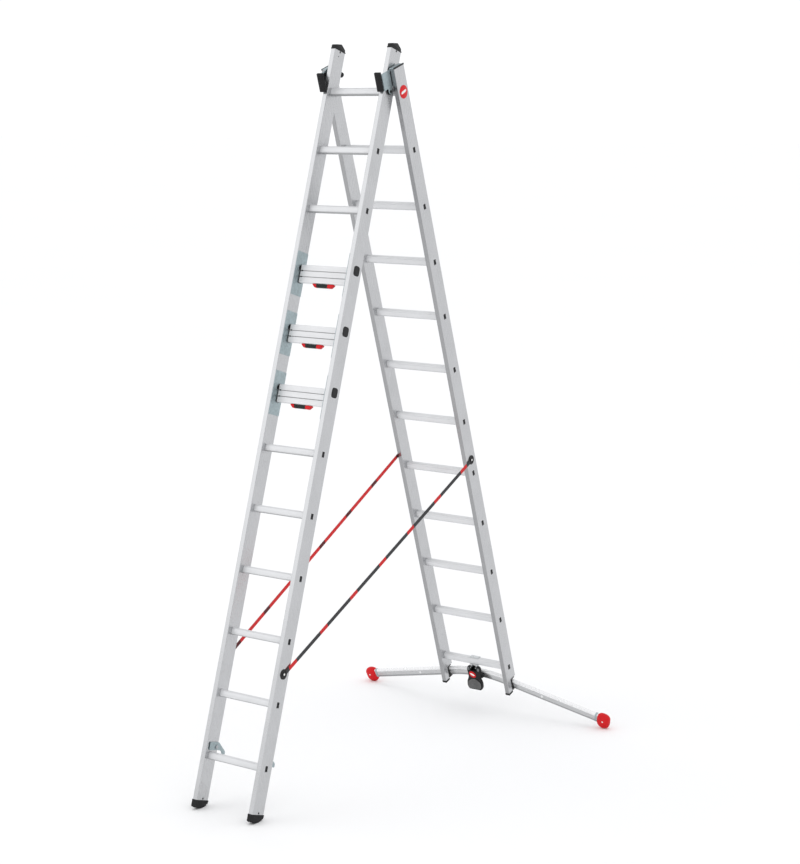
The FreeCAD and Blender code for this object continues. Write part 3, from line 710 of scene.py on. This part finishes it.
dark_rivet = moulded("dark_rivet_steel", (0.05, 0.05, 0.055), rough=0.36, metal=0.7)
rivet_shells = []
for side in both_sides:
    for down in (-104, -54):
        for out in (-22, 22):
            rivet_shells.append(turned("rear", "x", (side * 178.0, out, down),
                                       domed(side * -1.6, 4.0), 20))
    rivet_shells.append(turned("rear", "out", (side * 187.5, 40.5, -34.0), domed(2.8, 4.0), 20))
piece("rear_rivets_domed", rivet_shells, "rear_section", dark_rivet, ["rear_rivets"])

shoe_profile = [(171.5, 13.8), (172.1, 15.0), (176.9, 15.0), (177.5, 14.2), (177.5, 4.0),
                (181.4, 4.0), (181.4, 7.5), (183.6, 7.3), (184.6, 5.4)]
shoe_shells = [turned("front", "x", (0.0, 0.0, 0.0), shoe_profile, way=side) for side in both_sides]
piece("hinge_guide_shoes_turned", shoe_shells, "hinge_carriage", black_plastic,
      ["hinge_guide_shoes"])

# ---------------------------------------------------------------- marker discs
# Red moulded discs snapped over the ends of the top rear rung: slightly domed, with a sunk ring
# and a plain white inlay bar in place of lettering.
white_plastic = moulded("white_inlay_plastic", (0.80, 0.80, 0.79), rough=0.4, speckle=0.03,
                        scuff=1.0)
disc_shells = []
for side in both_sides:
    disc_shells.append(turned("rear", "x", (side * 205.0, 0.0, 0.0), [
        (0.05, 30.6), (0.5, 31.0), (0.9, 30.6), (1.1, 28.4), (0.8, 27.8), (0.8, 26.8),
        (1.15, 26.2), (1.4, 13.0)], 64, side))
    bar = rounded_corners([(-21.0, -8.5), (19.0, -3.5), (21.0, 8.5), (-19.0, 3.5)], 7.5, 6)
    disc_shells.append(across_plate("rear", bar, side * 205.8, side * 206.8, 0.3))
piece("rear_marker_discs_domed", disc_shells, "rear_section", [signal_red, white_plastic],
      ["rear_marker_discs"], picks=[0, 1] * len(both_sides))

# ---------------------------------------------------------------- levelling crossbar
# One rounded aluminium tube, bent at its middle, whose straight arms slide through the rear
# stiles to level the ladder; a shallow line runs along each face near its top edge.
bend_radius, arm_turn, bar_crown, bar_out = 700.0, math.radians(12.78), 3160.2, -14.0
bend_run = bend_radius * arm_turn


def on_bar(along, out, drop):
    """Rear-section point on the crossbar: along its centre line from the crown, drop is below it.

    The line is an arc of the bend radius up to the arm angle and its tangent from there on.
    """
    turn = np.clip(along / bend_radius, -arm_turn, arm_turn)
    beyond = along - turn * bend_radius
    across = (bend_radius - drop) * np.sin(turn) + beyond * np.cos(turn)
    down = bar_crown + bend_radius - (bend_radius - drop) * np.cos(turn) + beyond * np.sin(turn)
    return in_section("rear", across, bar_out + out, down)


def arm_station(across):
    """Distance along the bar's centre line to a place on an arm, given by how far out it is."""
    beyond = (abs(across) - bend_radius * math.sin(arm_turn)) / math.cos(arm_turn)
    return math.copysign(bend_run + beyond, across)


bar_depth, bar_height = 24.0, 44.0
bar_outline = resampled(rounded_box(bar_depth, bar_height, 7.0), 180)
bar_outline[:, 0] *= 1.0 - 0.08 * np.abs(bar_outline[:, 1]) / (bar_height / 2)
line_cut = (np.abs(bar_outline[:, 1] + 12.5) < 0.9) & (np.abs(bar_outline[:, 0]) > 7.0)
bar_outline[:, 0] -= np.where(line_cut, 0.8 * np.sign(bar_outline[:, 0]), 0.0)
bar_end = arm_station(706.0)
bar_stations = np.concatenate([[-bar_end], np.linspace(-bend_run, bend_run, 49), [bar_end]])
bar_rings = [on_bar(place, bar_outline[:, 0], bar_outline[:, 1]) for place in bar_stations]
# The pale top and dark underside bands are painted highlight and painted shade, for how the tube catches the
# light; the pale finish also serves the stop bolts.
bar_finish = [drawn_aluminium("crossbar_%s_aluminium" % part, lean["rear"], "x", tint, metal=metal)
              for part, tint, metal in (("tube", (0.58, 0.585, 0.59), 0.92),
                                        ("highlight_and_bolt", (0.86, 0.862, 0.865), 0.2),
                                        ("underside", (0.36, 0.365, 0.37), 0.92))]
tube = piece("crossbar_tube_drawn", [shell(bar_rings)], "crossbar", bar_finish,
             ["crossbar_tube"])
# Painted highlight on the top strips, painted shade on the lower strips.
tone = np.where(bar_outline[:, 1] < -12.0, 1, np.where(bar_outline[:, 1] > 9.0, 2, 0))
paint_strips(tube, tone, len(bar_stations))

# Grey collars, red rubber feet moulded round the tube ends, and the bolts that stop its travel.
collar_plastic = moulded("blue_grey_collar_plastic", (0.33, 0.39, 0.41), rough=0.45)
red_rubber = moulded("red_foot_rubber", (0.60, 0.006, 0.010), rough=0.5, grain=420.0, speckle=0.1,
                     depth=0.0002, scuff=1.15)
collar_shells, boot_shells, bolt_shells = [], [], []
floor_clear = 0.0002
for side in both_sides:
    centre = arm_station(side * 670.0)
    rings = []
    for shift, grow in ((-5.0, -2.0), (-4.8, 0.6), (-4.2, 1.2), (4.6, 1.2), (5.0, 0.6)):
        ring = rounded_box(bar_depth + 2 * grow, bar_height + 2 * grow, 8.0 + grow, 9)
        rings.append(on_bar(centre + shift, ring[:, 0], ring[:, 1]))
    collar_shells.append(shell(rings))

    centre = arm_station(side * 712.0)
    rings = []
    for turn in np.linspace(-1.0, 1.0, 27) * (math.pi / 2 * 0.93):
        full = abs(math.cos(turn)) ** 0.62
        shift = -3.0 + 34.0 * math.copysign(abs(math.sin(turn)) ** 0.9, turn)
        ring = resampled(rounded_box(42.0 * full, 70.0 * full, 20.5 * full, 9), 112)
        ring[:, 1] *= np.where(ring[:, 1] > 0, 1.36, 1.0)
        placed = on_bar(centre + side * shift, ring[:, 0], ring[:, 1])
        placed[:, 2] = np.maximum(placed[:, 2], floor_clear)
        rings.append(placed)
    boot_shells.append(shell(rings))

    angle = np.linspace(0.0, 2 * np.pi, 28, endpoint=False)
    for place_on, start, height, radius in ((arm_station(side * 372.0), 12.0, 6.0, 6.5),
                                            (centre, 20.6, 1.9, 4.5)):
        rings = [on_bar(place_on + size * np.cos(angle), start + rise, size * np.sin(angle))
                 for rise, size in domed(height, radius)]
        bolt_shells.append(shell(rings))
piece("crossbar_collars_moulded", collar_shells, "crossbar", collar_plastic,
      ["crossbar_collars"])
piece("crossbar_feet_moulded", boot_shells, "crossbar", red_rubber, ["crossbar_feet"])
piece("crossbar_stop_bolts_domed", bolt_shells, "crossbar", [bar_finish[1], white_plastic],
      ["crossbar_stop_bolts"], picks=[0, 1] * len(both_sides))

# Black guide liners clipped into the stile notches; the tube slides through their C shape.
c_high, c_low = 3153.1, 3216.8
slot_high, slot_low = 3156.1, 3213.8
c_back, c_front, slot_front = -26.0, 5.9, -1.1
c_outline = rounded_corners([(c_back, c_high), (c_front, c_high), (c_front, c_low), (c_back, c_low),
                             (c_back, slot_low), (slot_front, slot_low), (slot_front, slot_high),
                             (c_back, slot_high)], 3.0, 6)
piece("crossbar_guide_liners_moulded", mirrored_plates("rear", c_outline, 178.5, 207.5, 0.8),
      "rear_section", black_plastic, ["crossbar_guide_liners"])

# ---------------------------------------------------------------- lock pedal
# A black foot pedal hung below the lowest rear rung clamps the crossbar: a grey framed window on
# each side of its top, painted shade in place of a hole, a waist, a wide foot with a grey ribbed pad, and a
# plain red oval badge.
paint_node("pedal_bracket", galvanised("pale_galvanised_sheet", tint=(0.60, 0.62, 0.63)))
pivot_out, pivot_down = 21.0, 3112.0
lean["pedal"] = lean["rear"] + math.radians(8.0)
pivot = in_section("rear", 0.0, pivot_out, pivot_down)
section_start["pedal"] = (
    pivot[1] + (pivot_out * math.cos(lean["pedal"]) + pivot_down * math.sin(lean["pedal"])) * 0.001,
    pivot[2] - (pivot_out * math.sin(lean["pedal"]) - pivot_down * math.cos(lean["pedal"])) * 0.001)
pedal_plastic = moulded("pedal_black_plastic", (0.012, 0.012, 0.013), rough=0.45)
pad_rubber = moulded("pedal_grey_pad_rubber", (0.13, 0.13, 0.13), rough=0.6, grain=500.0)
pedal_outline = rounded_corners([(-22, 3101), (-36, 3106), (-40, 3124), (-34, 3150), (-34, 3166), (-44, 3190),
                 (-45, 3214), (-36, 3232), (36, 3232), (45, 3214), (44, 3190), (34, 3166),
                 (34, 3150), (40, 3124), (36, 3106), (22, 3101), (18.8, 3101), (18.8, 3126),
                 (-18.8, 3126), (-18.8, 3101)], 6.0, 6)
pedal_shells = [
    facing_plate("pedal", pedal_outline, 12.0, 30.0, 2.2),
    facing_plate("rear", eased_box(-34, 3148, 40, 3172, 4.0), -1.2, 18.0, 1.6)]
for side in both_sides:
    bearing = [(18.7, 8.2), (19.3, 9.0), (31.2, 9.0), (32.0, 8.2)]
    pedal_shells.append(turned("rear", "x", (0.0, pivot_out, pivot_down), bearing, 36, side))
piece("pedal_lever_moulded", pedal_shells, "lock_pedal", pedal_plastic, ["pedal_lever"])

# The grey window slabs are painted shade: the pedal's holes are not cut.
window_frames = []
for side in both_sides:
    window = eased_box(side * 24, 3110, side * 34, 3124, 3.5)
    steps = [(29.0, -1.4), (30.6, -1.4), (31.0, -0.9), (31.0, 0.0), (30.1, 0.4)]
    window_frames.append(facing_skin("pedal", [(out, inset(window, cut)) for out, cut in steps]))
window_painted_shade = moulded("pedal_window_shadow", (0.16, 0.165, 0.17), rough=0.55)
piece("pedal_window_frames", window_frames, "lock_pedal", [window_painted_shade])

pad_outline = rounded_corners([(-20, 3177), (-37.5, 3192), (-39.5, 3212), (-32.5, 3225.5), (32.5, 3225.5),
                               (39.5, 3212), (37.5, 3192), (20, 3177), (0, 3170.5)], 6.0, 6)
pad_shells = [facing_plate("pedal", pad_outline, 29.5, 34.0, 1.2)]
arc = np.linspace(-1.0, 1.0, 25)
for index in range(5):
    middle = 3183.0 + index * 9.5
    half_wide = 21.0 + min(index, 2) * 5.0
    line = np.stack([arc * half_wide, middle - 7.0 * (1 - arc ** 2) + 3.0], axis=-1)
    pad_shells.append(facing_skin("pedal", [
        (out, np.vstack([line - [0.0, half_high], line[::-1] + [0.0, half_high]]))
        for out, half_high in ((33.4, 2.2), (35.2, 1.9), (36.0, 1.1))]))
piece("pedal_pad_ribbed", pad_shells, "lock_pedal", pad_rubber, ["pedal_pad"])

badge_angle = np.linspace(0.0, 2 * np.pi, 56, endpoint=False)
badge_shells = []
for wide, high, start, stop in ((20.0, 16.0, 29.5, 32.4), (13.5, 5.5, 32.0, 33.0)):
    rings = [in_section("pedal", -7.0 + (wide - cut) * np.cos(badge_angle), out,
                        3148.0 + (high - cut) * np.sin(badge_angle) + 4.0 * np.cos(badge_angle))
             for out, cut in ((start, 0.0), (stop - 0.5, 0.0), (stop, 0.8))]
    badge_shells.append(shell(rings))
piece("pedal_badge_oval", badge_shells, "lock_pedal", [signal_red, white_plastic],
      picks=[0, 1])

# ---------------------------------------------------------------- spreader straps and eyelets
# Flat woven webbing, 20 mm wide, stitched round a neck on each eyelet: the outer face is black
# with red dashes and the inner face is red with dark dashes. Eyelets are riveted black rings.
eyelet_plastic = moulded("eyelet_black_plastic", (0.012, 0.012, 0.013), rough=0.4)
ring_profile = [(0.0, 22.4), (0.5, 23.0), (1.9, 23.0), (2.4, 22.2), (3.2, 19.0), (3.4, 16.5),
                (3.0, 14.0), (1.6, 12.6), (1.6, 9.6), (2.6, 9.0), (4.4, 8.6), (4.8, 7.8)]
rivet_profile = [(4.0, 5.2), (5.0, 5.2), (5.6, 4.2), (6.0, 2.0)]
strap_down = {"front": 2664.0, "rear": 1888.0}
for section, down in strap_down.items():
    face = stile_outer[section]
    ring_shells = [turned(section, "x", (side * face, 0.0, down), profile, count, side)
                   for side in both_sides
                   for profile, count in ((ring_profile, 48), (rivet_profile, 24))]
    piece("strap_eyelets_%s_moulded" % section, ring_shells, section_body[section],
          [eyelet_plastic, white_plastic], ["strap_eyelets_" + section],
          picks=[0, 1] * len(both_sides))


def webbing(name, ground, dash, first, dash_share, period=0.25):
    """Woven band: dashes by the length along it, a plain weave of two crossed waves for relief."""
    material, tree, shader = blank(name, Roughness=0.8)
    uv = add(tree, "ShaderNodeUVMap", {"uv_map": "along"}).outputs["UV"]
    parts = add(tree, "ShaderNodeSeparateXYZ", Vector=uv)
    length, width = parts.outputs["X"], parts.outputs["Y"]

    from_dash = maths(tree, "DIVIDE", maths(tree, "ADD", length, first), period)
    phase = maths(tree, "FRACT", from_dash, 0.0)
    warp = maths(tree, "SINE", maths(tree, "MULTIPLY", width, 2 * math.pi / 0.0014), 0.0)
    weft = maths(tree, "SINE", maths(tree, "MULTIPLY", length, 2 * math.pi / 0.0018), 0.0)
    weave = maths(tree, "MULTIPLY", warp, weft)
    ragged = maths(tree, "ADD", phase, maths(tree, "MULTIPLY", weave, 0.006))
    in_dash = maths(tree, "LESS_THAN", ragged, dash_share)
    fuzz = noise(tree, uv, 300.0, 4.0)
    shade = mix(tree, "RGBA", in_dash,
                ramp(tree, fuzz, (0.3, scaled(ground, 0.8)), (0.75, scaled(ground, 1.3, 0.006))),
                ramp(tree, fuzz, (0.3, scaled(dash, 0.82)), (0.75, scaled(dash, 1.15, 0.004))))
    wire(tree, shader, shade, None, weave, depth=0.00025, strength=0.5)
    return material


web_red = (0.60, 0.010, 0.012)
outer_web = webbing("strap_outer_webbing", (0.030, 0.030, 0.032), web_red, 0.218, 0.235)
inner_web = webbing("strap_inner_webbing", web_red, (0.10, 0.006, 0.008), 0.015, 0.2)
strap_width, strap_thickness = 0.020, 0.0016
carriage_share = 0.78
eyelet_neck = 0.0175


def strap_piece(name, start, end, side, from_share, to_share):
    """Part of a strap from one share of its length to another.

    The section is a flat oval: a superellipse of the webbing's width and thickness, carried
    along the straight line between the eyelets, with its length in metres as the first UV.
    """
    run = end - start
    length = np.linalg.norm(run)
    unit = run / length
    across = np.array([side, 0.0, 0.0]) - unit * (side * unit[0])
    across /= np.linalg.norm(across)
    up = np.cross(across, unit)
    angle = np.linspace(0.0, 2 * np.pi, 20, endpoint=False) + math.pi / 20
    wide = np.sign(np.cos(angle)) * np.abs(np.cos(angle)) ** 0.35 * strap_width / 2
    thick = np.sign(np.sin(angle)) * np.abs(np.sin(angle)) ** 0.6 * strap_thickness / 2
    shares = np.linspace(from_share, to_share, 141)
    rings = (start + unit * (shares[:, None, None] * length) + up * wide[None, :, None]
             + across * thick[None, :, None])
    skin = shell(rings)
    points = skin[0]
    made = piece(name, [skin], None, [outer_web, inner_web], crease=50.0)
    mesh = made.data
    corner_vertex = np.zeros(len(mesh.loops), np.int32)
    mesh.loops.foreach_get("vertex_index", corner_vertex)
    along = ((points - start) @ unit)[corner_vertex]
    height = ((points - start) @ up)[corner_vertex]
    layer = mesh.uv_layers.new(name="along")
    layer.data.foreach_set("uv", np.stack([along, height], axis=-1).ravel().astype(np.float32))
    normals = np.zeros(len(mesh.polygons) * 3, np.float32)
    mesh.polygons.foreach_get("normal", normals)
    inward = (normals.reshape(-1, 3) @ across) < -0.2
    mesh.polygons.foreach_set("material_index", inward.astype(np.int32))
    return made


for side, name in zip(both_sides, ("left", "right")):
    rear_end = in_section("rear", side * 209.0, 0.0, strap_down["rear"])
    front_end = in_section("front", side * 173.4, 0.0, strap_down["front"])
    run = front_end - rear_end
    unit = run / np.linalg.norm(run)
    rear_end, front_end = rear_end + unit * eyelet_neck, front_end - unit * eyelet_neck
    upper = strap_piece("strap_%s_upper_run" % name, rear_end, front_end, side, 0.0, carriage_share)
    lower = strap_piece("strap_%s_lower_run" % name, rear_end, front_end, side, carriage_share, 1.0)
    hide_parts("strap_" + name)
    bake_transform(upper)
    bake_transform(lower)
